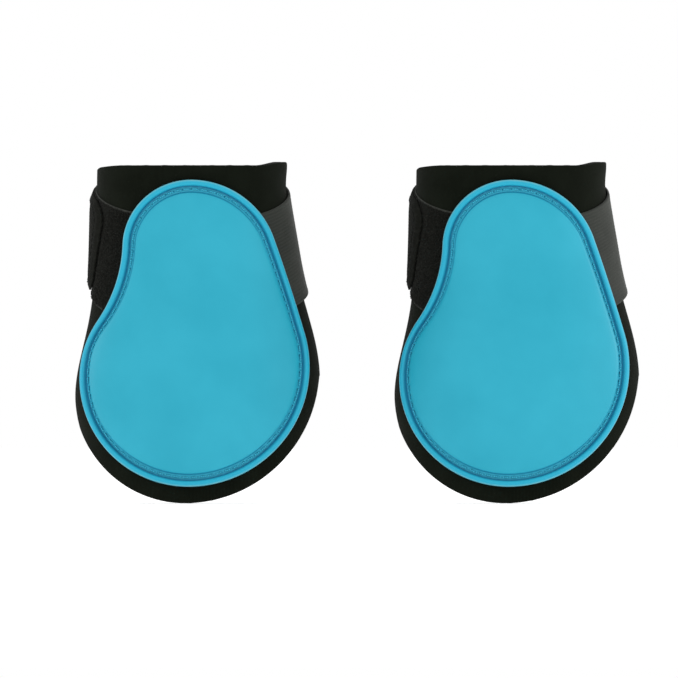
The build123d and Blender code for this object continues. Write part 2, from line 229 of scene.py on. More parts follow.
def strap_offset(angle, z):
    """Inner face of the strap: on the liner, then free of it, then out over the hook patch."""
    beside = smooth(angle, *LEAVE) * (1.0 - smooth(angle, *LAND))
    slack = STAND_OFF * beside * smooth(TOP_HEIGHT - z, *STAND_OFF_FADE)
    loop_side = WALL + LOOP_PAD + FREE_GAP + HOOK_PATCH
    lifted = FREE_GAP * smooth(angle, *LIFT)
    climb = (loop_side - WALL - FREE_GAP) * smooth(angle, *CLIMB)
    return WALL + SEAT_GAP + slack + lifted + climb


# ---- the pear outline, and rings that run inside it on the surface -------------------------------

def pear_arcs():
    """(centre, radius, start, end) of the six tangent arcs, clockwise from the top, as seen in front."""
    apex, base = np.array(SHELL_TOP), np.array(SHELL_BOTTOM)
    top_l, top_s = apex - (0, R_TOP_LOOP), apex - (0, R_TOP_STRAP)
    low_l, low_s = base + (0, R_BOTTOM_LOOP), base + (0, R_BOTTOM_STRAP)

    def third_centre(a, b, from_a, from_b):
        gap = a - b
        length = np.hypot(*gap)
        along = (from_b**2 - from_a**2 + length**2) / (2.0 * length)
        unit = gap / length
        return b + unit * along + np.array((-unit[1], unit[0])) * sqrt(from_b**2 - along**2)

    def towards(start, end, radius):
        return start + (end - start) / np.hypot(*(end - start)) * radius

    waist = third_centre(top_l, low_l, R_TOP_LOOP + R_WAIST, R_BOTTOM_LOOP + R_WAIST)
    flank = third_centre(top_s, low_s, R_FLANK - R_TOP_STRAP, R_FLANK - R_BOTTOM_STRAP)
    top_right, low_right = towards(flank, top_s, R_FLANK), towards(flank, low_s, R_FLANK)
    low_left, top_left = towards(waist, low_l, R_WAIST), towards(waist, top_l, R_WAIST)
    return [
        (top_s, R_TOP_STRAP, apex, top_right),
        (flank, R_FLANK, top_right, low_right),
        (low_s, R_BOTTOM_STRAP, low_right, base),
        (low_l, R_BOTTOM_LOOP, base, low_left),
        (waist, R_WAIST, low_left, top_left),
        (top_l, R_TOP_LOOP, top_left, apex),
    ]


def pear_points(share):
    """(x, z) on the outline at these shares of its length."""
    arcs, turns = pear_arcs(), []
    for centre, radius, start, end in arcs:
        a = np.arctan2(*(start - centre)[::-1])
        b = np.arctan2(*(end - centre)[::-1])
        turns.append((a, (b - a + pi) % (2.0 * pi) - pi))
    ends = np.cumsum([abs(turn) * arc[1] for (_, turn), arc in zip(turns, arcs)])
    along = np.asarray(share) * ends[-1]
    index = np.minimum(np.searchsorted(ends, along, side="right"), len(arcs) - 1)
    starts = np.concatenate([[0.0], ends[:-1]])
    points = np.empty((len(along), 2))
    for i, ((centre, radius, _, _), (a, turn)) in enumerate(zip(arcs, turns)):
        here = index == i
        bearing = a + turn * (along[here] - starts[i]) / (ends[i] - starts[i])
        points[here] = centre + radius * np.stack([np.cos(bearing), np.sin(bearing)], axis=-1)
    return points


def march_inwards(share, insets):
    """Rings of (angle, z), at these distances from the outline, measured on the surface."""
    x, z = pear_points(share).T
    angle = angle_at(x, z, SHELL_BASE + 2.0 * MM)
    step, gone, rings = 0.1 * MM, 0.0, []
    for inset in insets:
        while gone < inset - 1e-9:
            move = min(step, inset - gone)
            width = reach(angle, z, SHELL_BASE)
            across = width * (np.roll(angle, -1) - np.roll(angle, 1))
            up = np.roll(z, -1) - np.roll(z, 1)
            length = np.hypot(across, up)
            angle, z = angle + up / length * move / width, z - across / length * move
            gone += move
        rings.append((angle.copy(), z.copy()))
    return rings


def length_along(points, closed=False):
    """Distance of each point from the first; a closed row has the whole length at its end."""
    if closed:
        points = np.concatenate([points, points[:1]])
    return np.concatenate([[0.0], np.cumsum(np.linalg.norm(np.diff(points, axis=0), axis=1))])


# phases of one stitch at which the shell's rings have points, close together round the needle hole
STITCH_PHASES = np.array([0.0, 0.035, 0.08, 0.14, 0.25, 0.375, 0.5, 0.625, 0.75, 0.86, 0.92, 0.965])


def shares_at_stitches():
    """Shares of the outline that put the needle holes evenly along the needle line."""
    even = np.arange(900) / 900
    angle, z = march_inwards(even, [STITCH_INSET])[0]
    along = length_along(form(angle, z, SHELL_BASE), closed=True)
    count = round(along[-1] / STITCH_PITCH)
    wanted = (np.arange(count)[:, None] + STITCH_PHASES[None, :]).ravel() / count * along[-1]
    return np.interp(wanted, along, np.arange(901) / 900), count


RING_SHARES, STITCH_COUNT = shares_at_stitches()


def edge_angle(inset, side):
    """A function that gives the angle of the outline's inset ring at a height, on one side."""
    angle, z = march_inwards(np.arange(720) / 720, [inset])[0]
    low, high = STRAP_HEIGHT - PAD_WIDTH, STRAP_HEIGHT + PAD_WIDTH / 2.0
    keep = (np.sign(angle) == side) & (z > low) & (z < high)
    order = np.argsort(z[keep])
    return lambda height: np.interp(height, z[keep][order], angle[keep][order])


# ---- meshes ------------------------------------------------------------------------------------

def put_in_scene(name, data):
    made = bpy.data.objects.new(name, data)
    bpy.context.scene.collection.objects.link(made)
    return made


def make_mesh(name, points, faces, lay=None, sharp=38.0):
    """A smooth-shaded mesh object. lay is a surface coordinate that stays with the material."""
    mesh = bpy.data.meshes.new(name)
    mesh.from_pydata(np.asarray(points).reshape(-1, 3).tolist(), [], [list(f) for f in faces])
    mesh.validate()
    mesh.shade_smooth()
    mesh.set_sharp_from_angle(angle=radians(sharp))
    if lay is not None:
        values = np.asarray(lay, np.float32).reshape(-1, 3)
        mesh.attributes.new("lay", "FLOAT_VECTOR", "POINT").data.foreach_set("vector", values.ravel())
    return put_in_scene(name, mesh)


def grid_faces(rows, columns, start=0, flip=False, closed=False):
    """Quads of a grid of points stored row by row; closed joins each row's end to its start."""
    i, j = np.meshgrid(np.arange(rows - 1), np.arange(columns if closed else columns - 1), indexing="ij")
    i, j = i.ravel(), j.ravel()
    k = (j + 1) % columns
    quads = np.stack([i * columns + j, (i + 1) * columns + j, (i + 1) * columns + k, i * columns + k], axis=1)
    return (quads[:, ::-1] if flip else quads) + start


def slab(name, angle, z, inner, outer, edge, rounding, lay, wave=None):
    """A closed layer over a grid on the form, between two offsets, with rounded cut edges."""
    inner, outer = np.broadcast_to(inner, angle.shape), np.broadcast_to(outer, angle.shape)
    middle, half = (inner + outer) / 2.0, (outer - inner) / 2.0
    short = rounding - np.minimum(edge, rounding)
    half = half - rounding + np.sqrt(np.maximum(rounding**2 - short**2, 0.0))
    ripple = 0.0 if wave is None else wave
    out = form(angle, z, middle + half + ripple)
    back = form(angle, z, middle - half - ripple)
    rows, columns = angle.shape
    size = rows * columns
    flip = np.mean(np.diff(angle[:, 0])) > 0
    faces = list(grid_faces(rows, columns, flip=not flip)) + list(grid_faces(rows, columns, size, flip=flip))
    index = np.arange(size).reshape(rows, columns)
    border = np.concatenate([index[0, :-1], index[:-1, -1], index[-1, :0:-1], index[:0:-1, 0]])
    for a, b in zip(border, np.roll(border, -1)):
        quad = (a, b, b + size, a + size)
        faces.append(quad if flip else quad[::-1])
    return make_mesh(name, np.stack([out, back]), faces, np.stack([lay, lay]))


def edge_spacing(length, step, rounding):
    """Shares from 0 to 1 with close rows at both ends, where a cut edge is rounded."""
    close = rounding * np.array([0.0, 0.12, 0.35, 0.65, 1.0]) / length
    count = max(2, int(round((length - 2.0 * rounding) / step)))
    inside = np.linspace(close[-1], 1.0 - close[-1], count + 1)
    return np.concatenate([close[:-1], inside, 1.0 - close[:-1][::-1]])


def strip_faces(tubes, sections, sides):
    """Faces of many closed tubes whose points are stored tube by tube, section by section."""
    one = list(map(tuple, grid_faces(sections, sides, flip=True, closed=True)))
    one.append(tuple(range(sides)))
    one.append(tuple(range((sections - 1) * sides, sections * sides))[::-1])
    faces = []
    for i in range(tubes):
        start = i * sections * sides
        faces += [tuple(v + start for v in f) for f in one]
    return faces


def tubes(name, paths, side, up, radius, sides=8, twist=None, lay=None):
    """Closed tubes along paths (tube, section, xyz), with frames side and up, and twisted plies."""
    count, sections = paths.shape[:2]
    turn = np.arange(sides) * 2.0 * pi / sides
    radius = np.broadcast_to(radius, (count, sections))[..., None]
    swell = 1.0 if twist is None else 1.0 + 0.14 * np.cos(2.0 * turn[None, None, :] + twist[..., None])
    reach_out = (radius * swell)[..., None]
    ring = np.cos(turn)[None, None, :, None] * side[:, :, None, :]
    ring = ring + np.sin(turn)[None, None, :, None] * up[:, :, None, :]
    points = paths[:, :, None, :] + reach_out * ring
    return make_mesh(name, points, strip_faces(count, sections, sides), lay, sharp=70.0)


def unit(v):
    return v / np.linalg.norm(v, axis=-1, keepdims=True)


# ---- the pieces of one boot, each round the left boot's leg axis -----------------------------------

def bezier_corner(before, corner, after, cut):
    """Five points that round a corner of the shell's section."""
    before, corner, after = map(np.array, (before, corner, after))
    start = corner + unit(before - corner) * cut
    end = corner + unit(after - corner) * cut
    t = np.linspace(0.0, 1.0, 5)[:, None]
    return (1 - t) ** 2 * start + 2 * t * (1 - t) * corner + t**2 * end


def shell_section():
    """(inset, height) points from the shell's lower edge over the bead and channel to the panel."""
    corners = [
        ((0.55, -0.1), 0.0), ((0.0, 0.5), 0.3), ((0.0, 2.9), 0.8), ((1.1, 3.75), 0.55),
        ((2.7, 3.7), 0.5), ((3.25, 2.6), 0.3), ((3.45, 1.15), 0.35), ((6.35, 1.5), 0.35),
        ((6.75, 2.5), 0.35), ((7.9, 2.85), 0.7), ((10.5, 3.05), 0.0),
    ]
    points = [np.array([corners[0][0]])]
    for (before, _), (corner, cut), (after, _) in zip(corners, corners[1:], corners[2:]):
        points.append(bezier_corner(before, corner, after, cut))
    points.append(np.array([corners[-1][0]]))
    line = np.concatenate(points)
    floor = np.array([4.2, 4.45, 4.62, 4.78, 4.9, 5.02, 5.18, 5.35, 5.6])
    rise = np.interp(floor, line[:, 0], line[:, 1])
    line = np.concatenate([line, np.stack([floor, rise], axis=1)])
    keep = line[1:][np.argsort(line[1:, 0], kind="stable")]
    return np.concatenate([line[:1], keep]) * MM


def panel_angle(offset):
    """The angle of the panel's centre at this offset."""
    return angle_at(np.array([PANEL_CENTRE[0]]), np.array([PANEL_CENTRE[1]]), offset)[0]


def shell():
    section = shell_section()
    order = np.argsort(section[:, 0], kind="stable")
    rings = [None] * len(section)
    for k, ring in zip(order, march_inwards(RING_SHARES, section[order, 0])):
        rings[k] = ring
    count = len(RING_SHARES)
    phase = np.tile(STITCH_PHASES, STITCH_COUNT)
    along = np.minimum(phase, 1.0 - phase) * STITCH_PITCH
    points, lays = [], []

    def add(angle, z, height, inset):
        points.append(form(angle, z, SHELL_BASE + height))
        lays.append(np.stack([np.full(len(angle), inset), z, np.broadcast_to(height, angle.shape)], axis=-1))

    for (inset, height), (angle, z) in zip(section, rings):
        away = np.hypot(along, inset - STITCH_INSET)
        add(angle, z, height - NEEDLE_DEPTH * np.exp(-((away / NEEDLE_RADIUS) ** 2)), inset)
    faces = list(grid_faces(len(section), count, closed=True))

    def shrink(ring, shares, start, height, flip):
        """Rings from the last one in to the panel's centre, with a quarter of its points."""
        angle, z = (v[::4] for v in ring)
        coarse = len(angle)
        base, inset = start, section[-1, 0]
        centre_angle = panel_angle(SHELL_BASE)
        first = sum(len(p) for p in points)
        for share in shares:
            ring_angle = centre_angle + (angle - centre_angle) * share
            ring_z = PANEL_CENTRE[1] + (z - PANEL_CENTRE[1]) * share
            add(ring_angle, ring_z, height(share), inset + (1.0 - share) * 40.0 * MM)
        made = []
        for i in range(coarse):
            j = (i + 1) % coarse
            fine = [base + (4 * i + n) % count for n in range(5)]
            made.append((fine[0], fine[1], first + i)[::-1])
            made.append((fine[1], fine[2], first + i)[::-1])
            made.append((fine[2], first + j, first + i)[::-1])
            made.append((fine[2], fine[3], first + j)[::-1])
            made.append((fine[3], fine[4], first + j)[::-1])
        made += [tuple(f) for f in grid_faces(len(shares), coarse, first, closed=True)]
        last = first + (len(shares) - 1) * coarse
        tip = first + len(shares) * coarse
        add(np.array([centre_angle]), np.array([PANEL_CENTRE[1]]), height(0.0), inset + 40.0 * MM)
        made += [(last + i, tip, last + (i + 1) % coarse) for i in range(coarse)]
        return [f[::-1] for f in made] if flip else made

    def crown(share):
        return section[-1, 1] + PANEL_CROWN * smooth(1.0 - share, 0.0, 0.5)

    def underside(share):
        return section[0, 1]

    faces += shrink(rings[-1], np.linspace(0.955, 0.05, 26), (len(section) - 1) * count, crown, False)
    faces += shrink(rings[0], np.linspace(0.95, 0.1, 12), 0, underside, True)
    return make_mesh("shell", np.concatenate(points), faces, np.concatenate(lays), sharp=60.0)


def stitch_row(name, angle, z, base, pitch, thread, closed=False, slant=0.16 * MM, sections=13):
    """Lockstitch along a track of (angle, z): each stitch rises from one hole and dips into the next."""
    along = length_along(form(angle, z, base), closed)
    level = np.broadcast_to(base, np.shape(angle))
    if closed:
        angle, z, level = (np.append(v, v[0]) for v in (angle, z, level))
    count = int(round(along[-1] / pitch))
    t = np.linspace(0.0, 1.0, sections)
    spot = (np.arange(count)[:, None] + 0.03 + 0.94 * t[None, :]) / count * along[-1]
    a, h, base = (np.interp(spot, along, v) for v in (angle, z, level))
    dip = np.exp(-((t / 0.09) ** 2)) + np.exp(-(((1.0 - t) / 0.09) ** 2))
    jitter = rng.uniform(0.85, 1.1, (count, 1))
    rise = base + thread * (0.75 * jitter + 0.25 * np.sin(pi * t)[None, :]) - 2.6 * thread * dip[None, :]
    path = form(a, h, rise)
    up = unit(form(a, h, rise + MM) - path)
    ahead = unit(np.gradient(path, axis=1))
    side = unit(np.cross(ahead, up))
    path = path + side * (slant * (t - 0.5))[None, :, None]
    twist = 2.0 * pi * (spot / (2.4 * thread * 2.0))
    ends = 1.0 - 0.25 * dip[None, :] * np.ones((count, 1))
    lay = np.stack([spot, np.zeros_like(spot), np.zeros_like(spot)], axis=-1)
    lay = np.repeat(lay[:, :, None, :], 8, axis=2)
    return tubes(name, path, side, np.cross(side, ahead), thread * ends, 8, twist, lay)


def shell_stitching():
    angle, z = march_inwards(RING_SHARES, [STITCH_INSET])[0]
    floor = np.interp(STITCH_INSET, *shell_section()[shell_section()[:, 0].argsort()].T)
    return stitch_row("shell_stitching", angle, z, SHELL_BASE + floor, STITCH_PITCH, 0.4 * MM, closed=True)


def shock_pad():
    """Foam between the liner and the shell, held back from the sewn ends of the strap and loop pad."""
    insets = np.linspace(0.0, 12.0, 25) * MM
    shares = np.arange(360) / 360
    rings = march_inwards(shares, insets)
    edge_point = form(*rings[0], WALL)
    _, across = side_view(edge_point)
    held = 1.0 - smooth(np.abs(across), PAD_WIDTH / 2.0, PAD_WIDTH / 2.0 + 4.0 * MM)
    start = (2.0 + 6.0 * held) * MM
    stack_a, stack_z = (np.array(v) for v in zip(*rings))
    rows_a, rows_z, depth = [], [], []
    for share in (0.0, 0.02, 0.06, 0.12, 0.3, 1.0):
        want = (start + (12.0 * MM - start) * share) / (0.5 * MM)
        low = np.minimum(want.astype(int), len(insets) - 2)
        part = want - low
        pick = np.arange(len(shares))
        rows_a.append(stack_a[low, pick] * (1 - part) + stack_a[low + 1, pick] * part)
        rows_z.append(stack_z[low, pick] * (1 - part) + stack_z[low + 1, pick] * part)
        depth.append(want * 0.5 * MM - start)
    middle = panel_angle(WALL)
    for share in np.linspace(0.9, 0.0, 10):
        rows_a.append(middle + (rows_a[5] - middle) * share)
        rows_z.append(PANEL_CENTRE[1] + (rows_z[5] - PANEL_CENTRE[1]) * share)
        depth.append(np.full(len(shares), 20.0 * MM))
    angle, z = np.array(rows_a), np.array(rows_z)
    half = 0.5 * MM - 0.3 * MM + np.sqrt(0.3**2 - (0.3 - np.minimum(np.array(depth) / MM, 0.3)) ** 2) * MM
    out, back = form(angle, z, WALL + 0.55 * MM + half), form(angle, z, WALL + 0.55 * MM - half)
    rows, columns = angle.shape
    size = rows * columns
    faces = [tuple(f) for f in grid_faces(rows, columns, closed=True)]
    faces += [tuple(f) for f in grid_faces(rows, columns, size, flip=True, closed=True)]
    faces += [(i, (i + 1) % columns, size + (i + 1) % columns, size + i) for i in range(columns)]
    lay = np.stack([angle, z, angle * 0], axis=-1)
    piece = make_mesh("shock_pad", np.stack([out, back]), faces, np.stack([lay, lay]))
    merge_points(piece)
    return piece


def merge_points(piece):
    work = bmesh.new()
    work.from_mesh(piece.data)
    bmesh.ops.remove_doubles(work, verts=work.verts, dist=1e-7)
    work.to_mesh(piece.data)
    work.free()


def arc_reach(corner, to_end):
    """How far a round corner's arc reaches sideways, at these distances from the end."""
    return np.sqrt(np.maximum(corner**2 - np.maximum(corner - to_end, 0.0) ** 2, 0.0))


def liner_grid(side, step_round, step_up, rounding):
    """(angle, z, distance from the nearest cut, surface coordinate) of one half of the liner."""
    width = half_width(STRAP_SIDE if side > 0 else LOOP_SIDE, TOP_HEIGHT)
    last = 180.0 - np.degrees(np.arcsin(OPENING_WIDTH / 2.0 / width))
    dense = np.linspace(0.0, last, 400) * side
    level = 0.7 * TOP_HEIGHT
    along = length_along(form(dense, np.full(400, level), WALL))
    from_end = edge_spacing(2.0 * WING_CORNER, WING_CORNER / 8.0, rounding)
    from_end = from_end[from_end <= 0.5] * 2.0 * WING_CORNER
    from_end = np.unique(np.concatenate([from_end, WING_CORNER * (1 - np.cos(np.linspace(0, pi / 2, 10)))]))
    count = int(round((along[-1] - WING_CORNER) / step_round))
    before_corner = np.linspace(0.0, along[-1] - WING_CORNER, count + 1)[:-1]
    spots = np.concatenate([before_corner, (along[-1] - from_end)[::-1]])
    angle = np.interp(spots, along, dense * side) * side
    left = along[-1] - spots
    cut = WING_CORNER - arc_reach(WING_CORNER, left)
    low, high = lower_edge(angle) + cut, top_edge(angle) - cut
    rows = edge_spacing(TOP_HEIGHT * 0.8, step_up, rounding)
    z = low[:, None] + (high - low)[:, None] * rows[None, :]
    spread_angle = np.repeat(angle[:, None], len(rows), axis=1)
    slope_low = np.hypot(1.0, np.gradient(low, spots))[:, None]
    slope_high = np.hypot(1.0, np.gradient(high, spots))[:, None]
    edge = np.minimum((z - low[:, None]) / slope_low, (high[:, None] - z) / slope_high)
    edge = np.minimum(edge, left[:, None])
    lay = np.stack([np.repeat(spots[:, None] * side, len(rows), axis=1), z, np.zeros_like(z)], axis=-1)
    return spread_angle, z, np.maximum(edge, 0.0), lay


def liner_layer(name, side, inner, outer, rounding, step_round, step_up, frayed=0.0):
    angle, z, edge, lay = liner_grid(side, step_round, step_up, rounding)
    if frayed:
        along, up = lay[..., 0], lay[..., 1]
        pull = frayed * (np.sin(along / (1.9 * MM)) + np.sin(along / (0.83 * MM) + up / (1.3 * MM)))
        near = np.exp(-edge / (0.5 * MM))
        z = z + pull * near * np.where(z > TOP_HEIGHT / 2.0, -1.0, 1.0)
    beside = smooth(angle, *FLARE_FROM) * (1.0 - smooth(angle, *FLARE_UNTIL))
    flare = CORNER_FLARE * beside * smooth(z, TOP_HEIGHT - 11.0 * MM, TOP_HEIGHT + 2.0 * MM)
    return slab(name, angle, z, inner + flare, outer + flare, edge, rounding, lay)


def rounded_distance(to_end, across, half, corner):
    """Distance inside a long rectangle with two round corners at its end."""
    u, v = corner - to_end, np.abs(across) - (half - corner)
    outside = np.hypot(np.maximum(u, 0.0), np.maximum(v, 0.0))
    return corner - outside - np.minimum(np.maximum(u, v), 0.0)


def closing_rows(rows, to_end, half, corner):
    """(across, distance from the cut) of rows that close up between two round corners."""
    limit = half - corner + arc_reach(corner, to_end)
    across = rows[None, :] / half * limit[:, None]
    return across, np.maximum(rounded_distance(to_end[:, None], across, half, corner), 0.0)


def band_rows(width, rounding, step):
    return (edge_spacing(width, step, rounding) - 0.5) * width


def strap_length(name, start, stop, rows):
    """One length of the strap between two angles (numbers or a function of height)."""
    count = 46
    t = np.linspace(0.0, 1.0, count)
    first = start(height_in_band(60.0, rows, WALL)) if callable(start) else np.full(len(rows), start)
    angle = first[None, :] + (stop - first)[None, :] * t[:, None]
    across = np.repeat(rows[None, :], count, axis=0)
    z = height_in_band(angle, across, WALL + STRAP / 2.0)
    edge = np.minimum(STRAP_WIDTH / 2.0 - np.abs(across), 1.0)
    return finish_band(name, angle, z, across, edge)


def pressed_down(edge, angle):
    """How far the free end is pressed into the loop fabric, by distance from its cut edge."""
    rim, slope = 1.0 - smooth(edge, 0.4 * MM, 3.0 * MM), 1.0 - smooth(edge, 2.0 * MM, 10.0 * MM)
    return (0.9 * MM * rim + 0.45 * MM * slope) * smooth(angle, *PRESSED)


def finish_band(name, angle, z, across, edge):
    """The elastic's own thickness, ribs and selvedge over a grid along the strap.

    The third part of its surface coordinate turns from 0 to 1 where the free end begins.
    """
    inner = strap_offset(angle, z) - pressed_down(edge, angle)
    along = np.cumsum(np.concatenate([[0.0], np.mean(reach(angle, z, WALL), axis=1)[1:]
                                      * np.abs(np.diff(angle.mean(axis=1)))]))
    spread_along = np.repeat(along[:, None], angle.shape[1], axis=1)
    lay = np.stack([spread_along, across, smooth(angle, *BRUSHED)], axis=-1)
    ribs = 0.045 * MM * np.cos(2.0 * pi * across / RIB_PITCH) * smooth(edge, 0.3 * MM, 1.5 * MM)
    selvedge = 0.09 * MM * np.exp(-((edge - 1.2 * MM) / (0.5 * MM)) ** 2)
    skim = 0.06 * MM
    return slab(name, angle, z, inner + skim, inner + STRAP - skim, edge, 0.5 * MM, lay, ribs + selvedge)


def strap_end_grid(half, corner, end_y, start, offset, columns, rows):
    """(angle, z, across, distance from the cut) for a band that ends in two round corners."""
    t = np.linspace(0.0, 1.0, columns)
    middle = np.linspace(start, 300.0, 600)
    flat = np.full(600, 0.0)
    reach_y, _ = side_view(form(middle, height_in_band(middle, flat, offset), offset))
    stop = np.interp(-end_y, -reach_y, middle)
    share = 1.0 - (1.0 - t) ** 1.35
    centre = start + (stop - start) * share
    to_end = np.interp(centre, middle, reach_y) - end_y
    to_end[-1] = 0.0
    across, edge = closing_rows(rows, to_end, half, corner)
    angle = np.repeat(centre[:, None], len(rows), axis=1)
    low, high = np.full(angle.shape, 200.0), np.full(angle.shape, 330.0)
    for _ in range(30):
        guess = (low + high) / 2.0
        along, _ = side_view(form(guess, height_in_band(guess, across, offset), offset))
        behind = along > (to_end + end_y)[:, None]
        low, high = np.where(behind, guess, low), np.where(behind, high, guess)
    share = smooth(centre, 205.0, 240.0)[:, None]
    angle = angle * (1.0 - share) + (low + high) / 2.0 * share
    z = height_in_band(angle, across, offset)
    return angle, z, across, edge


def strap_tip():
    rows = band_rows(STRAP_WIDTH, 0.5 * MM, 0.4 * MM)
    angle, z, across, edge = strap_end_grid(
        STRAP_WIDTH / 2.0, END_CORNER, STRAP_END_Y, STRAP_SPLITS[1], WALL + STRAP, 84, rows)
    return finish_band("strap_tip", angle, z, across, edge)


def hook_patch_grid(start, columns, rows):
    """(angle, z, across, distance from the cut) on the hook patch's inner face."""
    corner, end_y = END_CORNER - HOOK_SETBACK, STRAP_END_Y + HOOK_SETBACK
    return strap_end_grid(HOOK_WIDTH / 2.0, corner, end_y, start, HOOK_FACE, columns, rows)


def hook_patch():
    rows = band_rows(HOOK_WIDTH, 0.2 * MM, 0.9 * MM)
    angle, z, across, edge = hook_patch_grid(HOOK_START, 50, rows)
    along = np.repeat(np.linspace(0.0, 0.045, len(angle))[:, None], len(rows), axis=1)
    lay = np.stack([along, across, across * 0], axis=-1)
    base = HOOK_FACE - pressed_down(edge + HOOK_SETBACK, angle)
    return slab("hook_patch", angle, z, base + 0.45 * MM, base + HOOK_PATCH, edge, 0.2 * MM, lay)


def hooks():
    """Rows of small bent hooks on the inside of the hook patch."""
    rows = np.arange(-HOOK_WIDTH / 2.0 + 1.6 * MM, HOOK_WIDTH / 2.0 - 1.5 * MM, 1.25 * MM)
    angle, z, _, edge = hook_patch_grid(HOOK_START + 3.0, 34, rows)
    keep = edge > 1.2 * MM
    base = HOOK_FACE - pressed_down(edge + HOOK_SETBACK, angle)[keep]
    angle, z = angle[keep], z[keep]
    root = form(angle, z, base + 0.5 * MM)
    up = unit(root - form(angle, z, base + 1.5 * MM))
    lean = unit(form(angle + 1.0, z, base) - form(angle, z, base))
    lean = lean * np.where(rng.random(len(root)) > 0.5, 1.0, -1.0)[:, None]
    t = np.linspace(0.0, 1.0, 7)
    rise, sway = np.sin(np.minimum(t * 1.25, 1.0) * pi / 2.0), np.maximum(t - 0.35, 0.0) ** 1.2
    rise = rise - 0.45 * np.maximum(t - 0.75, 0.0) / 0.25
    path = root[:, None, :] + up[:, None, :] * (rise * 0.62 * MM)[None, :, None]
    path = path + lean[:, None, :] * (sway * 0.75 * MM)[None, :, None]
    ahead = unit(np.gradient(path, axis=1))
    side = unit(np.cross(ahead, np.repeat(np.cross(up, lean)[:, None, :], 7, axis=1)))
    return tubes("hooks", path, side, np.cross(side, ahead), 0.1 * MM, 4)


def loop_pad_grid(rows, columns):
    """(angle, z, across, distance from the cut) of the loop fabric, from under the shell to the open side."""
    width = half_width(LOOP_SIDE, TOP_HEIGHT)
    stop = -180.0 + np.degrees(np.arcsin((OPENING_WIDTH / 2.0 + PAD_SETBACK) / width))
    first = edge_angle(SEWN_UNDER - 0.3 * MM, -1)(height_in_band(-50.0, rows, WALL))
    t = 1.0 - (1.0 - np.linspace(0.0, 1.0, columns)) ** 1.25
    reach_back = length_along(form(np.linspace(stop + 12.0, stop, 50), np.full(50, STRAP_HEIGHT), WALL))
    corner, half = 0.7 * WING_CORNER, PAD_WIDTH / 2.0
    per_degree = reach_back[-1] / 12.0
    angle = first[None, :] + (stop - first)[None, :] * t[:, None]
    to_end = (angle.mean(axis=1) - stop) * per_degree
    to_end[-1] = 0.0
    across, edge = closing_rows(rows, to_end, half, corner)
    z = height_in_band(angle, across, WALL + LOOP_PAD / 2.0)
    return angle, z, across, edge


def loop_pad():
    rows = band_rows(PAD_WIDTH, 0.3 * MM, 1.2 * MM)
    angle, z, across, edge = loop_pad_grid(rows, 90)
    lay = np.stack([np.radians(-angle) * 42.0 * MM, across, edge], axis=-1)
    return slab("loop_pad", angle, z, WALL + 0.02 * MM, WALL + 0.62 * MM, edge, 0.3 * MM, lay)


def loop_pile():
    """Thousands of small loops of yarn, tall where nothing lies on them and flat under the strap."""
    rows = np.linspace(-PAD_WIDTH / 2.0, PAD_WIDTH / 2.0, 41)
    angle, z, across, edge = loop_pad_grid(rows, 121)
    patch = 15000
    i, j = rng.uniform(0, 119.999, patch), rng.uniform(0, 39.999, patch)

    def at(grid):
        a, b, u, v = i.astype(int), j.astype(int), i % 1, j % 1
        low = grid[a, b] * (1 - v) + grid[a, b + 1] * v
        high = grid[a + 1, b] * (1 - v) + grid[a + 1, b + 1] * v
        return low * (1 - u) + high * u

    angle, z, edge = at(angle), at(z), at(edge)
    point = form(angle, z, WALL + 0.55 * MM)
    along, across = side_view(point)
    covered = (along > STRAP_END_Y - 1.0 * MM) & (np.abs(across) < STRAP_WIDTH / 2.0 + 0.5 * MM)
    x_edge = form(edge_angle(0.0, -1)(z), z, SHELL_BASE)[..., 0]
    under_shell = (point[..., 0] > x_edge - 0.8 * MM) & (np.cos(np.radians(angle)) > 0)
    keep = (edge > 0.4 * MM) & ~under_shell & (~covered | (rng.random(patch) < 0.45))
    angle, z, point, covered = angle[keep], z[keep], point[keep], covered[keep]
    count = len(angle)
    up = unit(form(angle, z, WALL + 2.0 * MM) - point)
    turn = rng.uniform(0.0, 2.0 * pi, count)
    round_way = unit(form(angle + 1.0, z, WALL) - form(angle, z, WALL))
    lean = round_way * np.cos(turn)[:, None] + np.cross(up, round_way) * np.sin(turn)[:, None]
    t = np.linspace(0.0, pi, 6)
    tall = np.where(covered, 0.32, 1.0) * rng.uniform(0.6, 1.15, count) * 0.62 * MM
    wide = rng.uniform(0.28, 0.5, count) * MM
    path = point[:, None, :] + up[:, None, :] * (tall[:, None] * np.sin(t)[None, :])[..., None]
    path = path + lean[:, None, :] * (wide[:, None] * -np.cos(t)[None, :])[..., None]
    tip = np.cross(up, lean) * rng.uniform(-0.35, 0.35, count)[:, None] * MM
    path = path + tip[:, None, :] * np.sin(t)[None, :, None]
    ahead = unit(np.gradient(path, axis=1))
    side = unit(np.cross(ahead, np.repeat(np.cross(up, lean)[:, None, :], 6, axis=1)))
    shade = np.repeat(rng.random(count), 18)
    lay = np.stack([shade, np.tile(np.repeat(np.sin(t), 3), count), shade * 0], axis=-1)
    return tubes("loop_pile", path, side, np.cross(side, ahead), 0.075 * MM, 3, lay=lay)


def loop_pad_stitching(across, name):
    angle = np.linspace(-WING_LINE + 25.0, -152.0, 200)
    z = height_in_band(angle, np.full(200, across), WALL)
    return stitch_row(name, angle, z, WALL + 0.75 * MM, 3.6 * MM, 0.22 * MM, sections=11)


